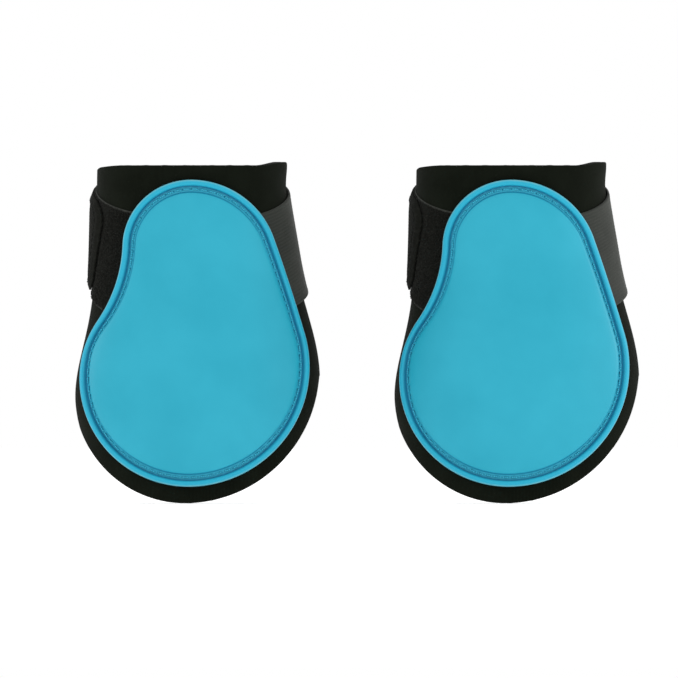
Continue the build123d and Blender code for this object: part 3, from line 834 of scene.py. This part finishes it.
def hook_patch_stitching():
    """A row round the hook patch, sewn through the strap's end."""
    inset = 1.4 * MM
    half, corner = HOOK_WIDTH / 2.0 - inset, END_CORNER - HOOK_SETBACK - inset
    base = HOOK_FACE + HOOK_PATCH + STRAP
    rows = np.array([-half, half])
    angle, z, _, _ = strap_end_grid(
        half, corner, STRAP_END_Y + HOOK_SETBACK + inset, HOOK_START + 2.0, base, 160, rows)
    low, high = np.array([angle[:, 0], z[:, 0]]), np.array([angle[:, 1], z[:, 1]])
    joining = low[:, -1:] + (high[:, -1:] - low[:, -1:]) * np.linspace(0.02, 0.98, 40)
    back = high[:, :1] + (low[:, :1] - high[:, :1]) * np.linspace(0.02, 0.98, 60)
    angle, z = np.concatenate([low, joining, high[:, ::-1], back], axis=1)
    base = base - pressed_down(HOOK_SETBACK + inset, angle)
    return stitch_row("hook_patch_stitching", angle, z, base, 3.4 * MM, 0.22 * MM, closed=True, sections=11)


# ---- finishes ------------------------------------------------------------------------------------

class Value:
    """A socket of a finish; arithmetic on it adds Math nodes."""

    def __init__(self, finish, socket):
        self.finish, self.socket = finish, socket

    def math(self, operation, first, second=None):
        links = {0: first} if second is None else {0: first, 1: second}
        return self.finish.node("ShaderNodeMath", {"operation": operation}, links)[0]

    def __add__(self, other):
        return self.math("ADD", self, other)

    def __sub__(self, other):
        return self.math("SUBTRACT", self, other)

    def __rsub__(self, other):
        return self.math("SUBTRACT", other, self)

    def __mul__(self, other):
        return self.math("MULTIPLY", self, other)

    def __truediv__(self, other):
        return self.math("DIVIDE", self, other)

    def __pow__(self, other):
        return self.math("POWER", self, other)

    __radd__, __rmul__ = __add__, __mul__


class Finish:
    """One material: a Principled shader and the nodes that vary it."""

    def __init__(self, name, specular, sheen=(0.0, 0.5), **constants):
        self.material = bpy.data.materials.new(name)
        self.material.use_nodes = True
        self.tree = self.material.node_tree
        self.shader = self.tree.nodes["Principled BSDF"]
        self.set(Specular_IOR_Level=specular, Sheen_Weight=sheen[0], Sheen_Roughness=sheen[1], **constants)

    def node(self, kind, settings=None, links=None):
        """Adds a node; settings first, then the values or links of its sockets. Gives its outputs."""
        made = self.tree.nodes.new(kind)
        for key, value in (settings or {}).items():
            if key == "stops":
                ramp = made.color_ramp.elements
                while len(ramp) < len(value):
                    ramp.new(0.5)
                for stop, (place, level) in zip(ramp, value):
                    stop.position, stop.color = place, (level, level, level, 1.0)
            else:
                setattr(made, key, value)
        for key, value in (links or {}).items():
            self.feed(made.inputs[key], value)
        return [Value(self, socket) for socket in made.outputs]

    def feed(self, socket, value):
        if isinstance(value, Value):
            self.tree.links.new(value.socket, socket)
        else:
            socket.default_value = value

    def set(self, **links):
        for socket, value in links.items():
            self.feed(self.shader.inputs[socket.replace("_", " ")], value)

    def done(self, tone, roughness, relief=None):
        """Joins up the shader and gives the material."""
        self.set(Base_Color=tone, Roughness=roughness)
        if relief is not None:
            self.set(Normal=relief)
        return self.material

    def cells(self, vector, scale, feature="F1"):
        return self.node("ShaderNodeTexVoronoi", {"feature": feature}, {"Vector": vector, "Scale": scale})[0]

    def lay(self):
        """The surface coordinate that each piece carries, and its three parts."""
        vector = self.node("ShaderNodeAttribute", {"attribute_name": "lay"})[1]
        return [vector] + self.node("ShaderNodeSeparateXYZ", None, {0: vector})

    def place(self):
        return self.node("ShaderNodeTexCoord")[3]

    def noise(self, vector, scale, detail=3.0, roughness=0.55):
        return self.node("ShaderNodeTexNoise", None, {
            "Vector": vector, "Scale": scale, "Detail": detail, "Roughness": roughness})[0]

    def wave(self, part, pitch):
        """0 to 1 and back once every pitch."""
        turn = part * (2.0 * pi / pitch)
        return turn.math("SINE", turn) * 0.5 + 0.5

    def ramp(self, value, *stops):
        return self.node("ShaderNodeValToRGB", {"stops": stops}, {0: value})[0]

    def mix(self, share, first, second):
        """Colour first where share is 0 and second where it is 1."""
        return self.node("ShaderNodeMix", {"data_type": "RGBA"}, {0: share, 6: first, 7: second})[2]

    def between(self, value, low, high, first, second):
        """Colour first up to the low value, and second from the high one."""
        return self.mix(self.ramp(value, (low, 0.0), (high, 1.0)), first, second)

    def deeper(self, first, second):
        """The larger of two values."""
        return first.math("MAXIMUM", first, second)

    def bump(self, height, strength, distance, under=None):
        links = {"Height": height, "Strength": strength, "Distance": distance}
        if under is not None:
            links["Normal"] = under
        return self.node("ShaderNodeBump", None, links)[0]


def colour(red, green, blue):
    """A colour from its 0 to 255 screen values."""
    def linear(c):
        c = c / 255.0
        return c / 12.92 if c <= 0.04045 else ((c + 0.055) / 1.055) ** 2.4
    return (linear(red), linear(green), linear(blue), 1.0)


def moulded_blue():
    f = Finish("moulded_blue", 0.25, Coat_Weight=0.06, Coat_Roughness=0.35)
    place = f.place()
    _, inset, _, height = f.lay()
    inset, height = inset * 100.0, height * 1000.0      # the ramps count in centimetres and millimetres
    cloud, grain = f.noise(place, 26.0, 3.0), f.noise(place, 1500.0, 4.0)
    panel = f.between(cloud, 0.35, 0.65, colour(28, 154, 178), colour(36, 160, 184))
    bead = f.between(grain, 0.3, 0.7, colour(20, 156, 186), colour(32, 164, 192))
    tone = f.mix(f.ramp(inset, (0.30, 1.0), (0.34, 0.0)), panel, bead)
    # the channel between the bead and the panel is tinted a little darker: painted shade in the recess
    channel_shade = f.ramp(inset, (0.28, 0.0), (0.35, 1.0), (0.6, 1.0), (0.7, 0.0))
    tone = f.mix(channel_shade * 0.45, tone, colour(40, 150, 178))
    # narrow deep-blue lines at the foot of the bead and at the panel's edge: painted shade in the creases
    bead_foot_shade = f.ramp(inset, (0.30, 0.0), (0.345, 1.0), (0.365, 1.0), (0.41, 0.0))
    panel_edge_shade = f.ramp(inset, (0.59, 0.0), (0.63, 1.0), (0.655, 1.0), (0.70, 0.0))
    tone = f.mix(f.deeper(bead_foot_shade * 0.7, panel_edge_shade * 0.5), tone, colour(6, 92, 138))
    # dark spots in the dented needle holes: painted shade
    needle_hole_shade = f.ramp(height, (0.6, 1.0), (1.0, 0.0))
    needle_hole_shade = needle_hole_shade * f.ramp(inset, (0.42, 0.0), (0.45, 1.0), (0.56, 1.0), (0.6, 0.0))
    tone = f.mix(needle_hole_shade * 0.9, tone, colour(5, 64, 98))
    # a pale band along the shell's outer edge, broken up by noise: a painted highlight
    rim_highlight_breakup = f.ramp(f.noise(place, 320.0, 2.0), (0.3, 0.5), (0.7, 1.0))
    rim_highlight = f.ramp(inset, (0.0, 0.75), (0.05, 0.6), (0.13, 0.0)) * rim_highlight_breakup
    tone = f.mix(rim_highlight, tone, colour(132, 182, 182))
    relief = f.bump(grain, 0.22, 0.00008)
    relief = f.bump(f.noise(place, 90.0, 2.0), 0.25, 0.0004, relief)
    return f.done(tone, 0.4 + 0.12 * grain + 0.08 * cloud, relief)


def sewing_thread(name, specular, sheen, pitch, dark, light, depth):
    """Plied thread, with one twist every pitch."""
    f = Finish(name, specular, (sheen, 0.4))
    place = f.place()
    ply = f.wave(f.lay()[1], pitch)
    fluff = f.noise(place, 4000.0, 2.0)
    relief = f.bump(ply + 0.4 * fluff, 0.5, depth)
    return f.done(f.mix(ply, dark, light), 0.6 + 0.2 * fluff, relief)


def knit_face():
    """Fine jersey: columns of stitches that run up the leg."""
    f = Finish("knit_face", 0.03, (0.02, 0.5))
    vector, along, up, _ = f.lay()
    wale, course = f.wave(along, 0.62 * MM), f.wave(up + 0.18 * MM * f.wave(along, 0.62 * MM), 0.5 * MM)
    knit = wale ** 0.7 * (0.55 + 0.45 * course)
    cloud = f.noise(vector, 45.0, 4.0)
    lint = f.ramp(f.noise(vector, 900.0, 2.0), (0.66, 0.0), (0.78, 1.0))
    tone = f.mix(knit, colour(7, 9, 5), colour(21, 25, 18))
    tone = f.mix(f.ramp(cloud, (0.35, 0.0), (0.7, 0.4)), tone, colour(27, 31, 24))
    tone = f.mix(lint * 0.3, tone, colour(54, 57, 50))
    relief = f.bump(cloud, 0.3, 0.0006)
    return f.done(tone, 0.85 + 0.1 * (1 - knit), f.bump(knit, 0.55, 0.00014, relief))


def cut_foam():
    """Closed-cell rubber, seen where the liner is cut."""
    f = Finish("cut_foam", 0.04)
    place = f.place()
    cells = f.cells(place, 2300.0)
    cloud = f.noise(place, 120.0, 3.0)
    tone = f.between(cells, 0.0, 0.6, colour(9, 10, 8), colour(33, 34, 31))
    tone = f.mix(cloud * 0.4, tone, colour(19, 20, 18))
    return f.done(tone, 0.85 + 0.1 * cloud, f.bump(cells, 0.6, 0.00018))


def brushed_lining():
    f = Finish("brushed_lining", 0.03, (0.05, 0.6))
    vector = f.lay()[0]
    nap = f.noise(vector, 1400.0, 4.0, 0.65)
    stroke = f.noise(vector, 70.0, 3.0)
    tone = f.between(nap, 0.3, 0.75, colour(11, 11, 11), colour(38, 38, 38))
    tone = f.mix(f.ramp(stroke, (0.4, 0.0), (0.7, 0.45)), tone, colour(46, 46, 46))
    return f.done(tone, 0.86 + 0.12 * nap, f.bump(nap, 0.6, 0.0003))


def loop_ground():
    f = Finish("loop_ground", 0.03, (0.03, 0.5))
    vector, _, _, edge = f.lay()
    tuft = f.cells(vector, 1300.0, "SMOOTH_F1")
    fuzz = f.noise(vector, 2600.0, 4.0, 0.7)
    tone = f.between(fuzz, 0.35, 0.7, colour(8, 9, 7), colour(30, 31, 27))
    selvedge = f.ramp(edge * 100.0, (0.0, 0.85), (0.06, 0.7), (0.11, 0.0))
    tone = f.mix(selvedge, tone, colour(66, 68, 64))
    return f.done(tone, 0.85 + 0.1 * fuzz, f.bump(fuzz + 0.8 * (1 - tuft), 0.9, 0.0004))


def loop_yarn():
    f = Finish("loop_yarn", 0.1, (0.04, 0.4))
    _, shade, tip, _ = f.lay()
    strand = f.noise(f.place(), 6000.0, 2.0)
    lit = f.ramp(shade * 0.6 + tip * 0.4, (0.1, 0.0), (0.95, 1.0))
    tone = f.mix(lit, colour(11, 12, 9), colour(48, 49, 45))
    return f.done(tone, 0.65 + 0.2 * strand, f.bump(strand, 0.3, 0.00005))


def woven_elastic():
    """Ribs along the strap, crossed by fine weft. It is blacker and fuzzier at the strap's free end."""
    f = Finish("woven_elastic", 0.12, (0.06, 0.35))
    vector, along, across, end = f.lay()
    rib, weft = f.wave(across, RIB_PITCH), f.wave(along + 0.12 * MM * f.wave(across, 0.8 * MM), 0.55 * MM)
    cloud, fluff = f.noise(vector, 38.0, 4.0), f.noise(vector, 2600.0, 3.0)
    tone = f.mix(weft * (0.5 + 0.5 * rib), colour(28, 30, 27), colour(58, 61, 56))
    tone = f.mix(f.ramp(cloud, (0.35, 0.0), (0.7, 0.45)), tone, colour(62, 65, 60))
    tone = f.mix(f.ramp(fluff, (0.6, 0.0), (0.8, 0.4)), tone, colour(80, 83, 78))
    fuzz = f.between(fluff, 0.35, 0.7, colour(7, 8, 6), colour(31, 32, 28))
    tone = f.between(end, 0.2, 0.8, tone, fuzz)
    relief = f.bump(weft * (0.6 + 0.4 * rib), 0.5, 0.00012)
    return f.done(tone, 0.5 + 0.16 * fluff + 0.1 * (1 - weft), relief)


def brushed_end():
    """The strap's free end, brushed to a short black nap."""
    f = Finish("brushed_end", 0.03, (0.02, 0.5))
    vector, along, across, _ = f.lay()
    fuzz, nap = f.noise(vector, 2600.0, 4.0, 0.7), f.noise(vector, 420.0, 3.0)
    weave = f.wave(across, RIB_PITCH) * f.wave(along, 0.55 * MM)
    tone = f.between(fuzz, 0.35, 0.7, colour(8, 9, 7), colour(32, 33, 29))
    tone = f.mix(f.ramp(nap, (0.5, 0.0), (0.75, 0.35)), tone, colour(44, 45, 41))
    relief = f.bump(fuzz + 0.4 * weave, 0.8, 0.0003)
    return f.done(tone, 0.85 + 0.1 * fuzz, relief)


def hook_tape():
    f = Finish("hook_tape", 0.1)
    vector, along, across, _ = f.lay()
    weave = f.wave(along, 0.7 * MM) * f.wave(across, 0.7 * MM)
    fluff = f.noise(vector, 1800.0, 3.0)
    tone = f.mix(weave, colour(12, 12, 12), colour(34, 34, 34))
    return f.done(tone, 0.6 + 0.2 * fluff, f.bump(weave + 0.3 * fluff, 0.6, 0.00015))


def nylon_hooks():
    f = Finish("nylon_hooks", 0.3)
    cloud = f.noise(f.place(), 900.0, 2.0)
    return f.done(f.mix(cloud, colour(18, 18, 18), colour(42, 42, 42)), 0.35 + 0.2 * cloud)


def pad_foam():
    f = Finish("pad_foam", 0.05)
    place = f.place()
    cells = f.cells(place, 1700.0)
    tone = f.between(cells, 0.0, 0.7, colour(20, 21, 22), colour(44, 45, 47))
    return f.done(tone, 0.85 + 0.1 * cells, f.bump(cells, 0.5, 0.0002))


def studio_floor():
    white = (1.0, 1.0, 1.0, 1.0)
    f = Finish("studio_floor", 0.0, Emission_Color=white, Emission_Strength=0.5)
    cloud = f.noise(f.place(), 2.0, 2.0)
    tone = f.mix(cloud, (0.78, 0.78, 0.78, 1.0), (0.82, 0.82, 0.82, 1.0))
    return f.done(tone, 0.9 + 0.05 * cloud)


# ---- fitting the pieces to both boots ---------------------------------------------------------------

def near_hinge(side, angle_before, angle_after):
    """Two points on the form, in the row frame, between which a piece bends."""
    shift = np.array([0.0 if side == "left" else TO_RIGHT_BOOT, 0.0, 0.0])
    return [tuple(form(a, STRAP_HEIGHT, WALL) + shift) for a in (angle_before, angle_after)]


def wing_bend(side, hand):
    """The bend at the side of the leg runs straight back."""
    reach_x = (0.0 if side == "left" else TO_RIGHT_BOOT) + hand * 50.0 * MM
    return (reach_x, -9.0 * MM, STRAP_HEIGHT), (reach_x, 9.0 * MM, STRAP_HEIGHT)


def dress(piece, material):
    piece.data.materials.clear()
    piece.data.materials.append(material)


def dress_brushed_end(piece, material):
    """The strap's free end has a finish of its own, past the turn in its surface coordinate."""
    mesh = piece.data
    mesh.materials.append(material)
    end = np.empty(len(mesh.vertices) * 3, np.float32)
    mesh.attributes["lay"].data.foreach_get("vector", end)
    for face in mesh.polygons:
        face.material_index = int(min(end[3 * v + 2] for v in face.vertices) > 0.99)


def fit_to_boots(source, material, nodes, body=None, bend=None, end_material=None):
    """Puts a piece on both boots. bend is (first body, second body, points(side)); of it only the points are
    worked out, and a piece given it is fixed to no body.
    """
    piece_name = source.name
    for side in ("left", "right"):
        mesh = source.data.copy()
        if side == "right":
            from_x = np.empty(len(mesh.vertices) * 3, np.float32)
            mesh.vertices.foreach_get("co", from_x)
            from_x[0::3] += TO_RIGHT_BOOT
            mesh.vertices.foreach_set("co", from_x)
            mesh.update()
        piece = put_in_scene(f"{side}_{piece_name}_looks", mesh)
        dress(piece, material)
        if end_material:
            dress_brushed_end(piece, end_material)
        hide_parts(*[f"{side}_{node}" for node in nodes])
        if bend:
            first, second, points = bend
            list(points(side))
            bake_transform(piece)
        else:
            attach(piece, f"{side}_{body}")
    bpy.data.objects.remove(source)


def make_boots():
    on_loop_wing = ("boot", "loop_wing", lambda side: wing_bend(side, -1))
    on_strap_wing = ("boot", "strap_wing", lambda side: wing_bend(side, 1))
    at_strap_line = ("strap_wing", "strap", lambda side: near_hinge(side, *STRAP_BEND))
    at_end_line = ("strap", "strap_end", lambda side: near_hinge(side, *END_BEND))

    blue = moulded_blue()
    fit_to_boots(shell(), blue, ["shell"], body="boot")
    thread = sewing_thread(
        "blue_thread", 0.2, 0.1, 0.9 * MM, colour(24, 128, 158), colour(60, 178, 204), 0.0001)
    fit_to_boots(shell_stitching(), thread, ["shell_stitching"], body="boot")
    fit_to_boots(shock_pad(), pad_foam(), ["shock_pad"], body="boot")

    face, foam, lining = knit_face(), cut_foam(), brushed_lining()
    for half, side, bend in (("loop_wing", -1, on_loop_wing), ("strap_wing", 1, on_strap_wing)):
        layers = (
            ("face", face, "knit_black", LINING + FOAM, WALL, 0.3 * MM, 1.6 * MM, 2.2 * MM, None),
            ("foam", foam, "neoprene", LINING, LINING + FOAM, 0.35 * MM, 1.6 * MM, 4.0 * MM, 1.0),
            ("lining", lining, "lining_black", 0.0, LINING, 0.3 * MM, 1.6 * MM, 3.0 * MM, None),
        )
        for layer, material, slot_name, inner, outer, rounding, step_round, step_up, fill in layers:
            name = f"liner_{layer}_{half}"
            frayed = 0.07 * MM if layer == "foam" else 0.0
            piece = liner_layer(name, side, inner, outer, rounding, step_round, step_up, frayed)
            nodes = [f"liner_{layer}_front", name] if side < 0 else [name]
            fit_to_boots(piece, material, nodes, bend=bend)

    pad_nodes = ["loop_pad_front", "loop_pad_wing"]
    fit_to_boots(loop_pad(), loop_ground(), pad_nodes, bend=on_loop_wing)
    fit_to_boots(loop_pile(), loop_yarn(), [], bend=on_loop_wing)
    thread = sewing_thread(
        "black_thread", 0.05, 0.04, 0.6 * MM, colour(10, 10, 10), colour(36, 37, 34), 0.00008)
    for name, across in (("upper", 1), ("lower", -1)):
        row = loop_pad_stitching(across * (PAD_WIDTH / 2.0 - TAPE_STITCH_INSET), f"loop_pad_{name}_stitching")
        fit_to_boots(row, thread, ["loop_pad_stitching"], bend=on_loop_wing)

    elastic = woven_elastic()
    rows = band_rows(STRAP_WIDTH, 0.5 * MM, 0.4 * MM)
    root = strap_length("strap_root", edge_angle(SEWN_UNDER - 0.3 * MM, 1), STRAP_SPLITS[0], rows)
    fit_to_boots(root, elastic, ["strap_anchor", "strap_side"], bend=on_strap_wing)
    bridge = strap_length("strap_bridge", *STRAP_SPLITS, rows)
    fit_to_boots(bridge, elastic, ["strap_back"], bend=at_strap_line)
    fit_to_boots(strap_tip(), elastic, ["strap_end"], bend=at_end_line, end_material=brushed_end())
    fit_to_boots(hook_patch(), hook_tape(), ["hook_patch"], bend=at_end_line)
    fit_to_boots(hooks(), nylon_hooks(), [], bend=at_end_line)
    fit_to_boots(hook_patch_stitching(), thread, ["hook_patch_stitching"], bend=at_end_line)


# ---- studio --------------------------------------------------------------------------------------

def make_studio():
    middle = [(a + b) / 2.0 for a, b in zip(cad_low, cad_high)]
    floor_mesh = bpy.data.meshes.new("studio_floor")
    far, level = 6.0, cad_low[2] - 0.3 * MM
    corners = [(-far, -far, level), (far, -far, level), (far, far, level), (-far, far, level)]
    floor_mesh.from_pydata(corners, [], [(0, 1, 2, 3)])
    floor_mesh.materials.append(studio_floor())
    put_in_scene("studio_floor", floor_mesh)

    world = bpy.data.worlds.new("studio")
    world.use_nodes = True
    world.node_tree.nodes["Background"].inputs["Color"].default_value = (1.0, 1.0, 1.0, 1.0)
    world.node_tree.nodes["Background"].inputs["Strength"].default_value = 1.0
    bpy.context.scene.world = world

    lamps = (
        ("key", (-0.6, -1.6, 1.2), 1.2, 2.6),
        ("low_right", (1.5, -1.0, 0.0), 0.8, 3.4),
        ("side_right", (1.6, 0.25, 0.35), 0.5, 5.0),
        ("side_left", (-1.6, 0.25, 0.35), 0.5, 2.0),
    )
    for name, place, size, power in lamps:
        light = bpy.data.lights.new(name, "AREA")
        light.size, light.energy = size, power
        lamp = put_in_scene(name, light)
        lamp.location = [m + p for m, p in zip(middle, place)]
        direction = lamp.location - type(lamp.location)(middle)
        lamp.rotation_euler = direction.to_track_quat("Z", "Y").to_euler()

    away, across, height, view_width = 12.0, 72.5 * MM, 82.1 * MM, 339.0 * MM
    camera_data = bpy.data.cameras.new("camera")
    camera_data.lens = camera_data.sensor_width * away / view_width
    camera_data.clip_start, camera_data.clip_end = 1.0, 40.0
    camera = put_in_scene("camera", camera_data)
    camera.location = (across, -away - 30.0 * MM, height)
    camera.rotation_euler = (pi / 2.0, 0.0, 0.0)
    bpy.context.scene.camera = camera
    bpy.context.scene.view_settings.view_transform = "Standard"


make_studio()
make_boots()
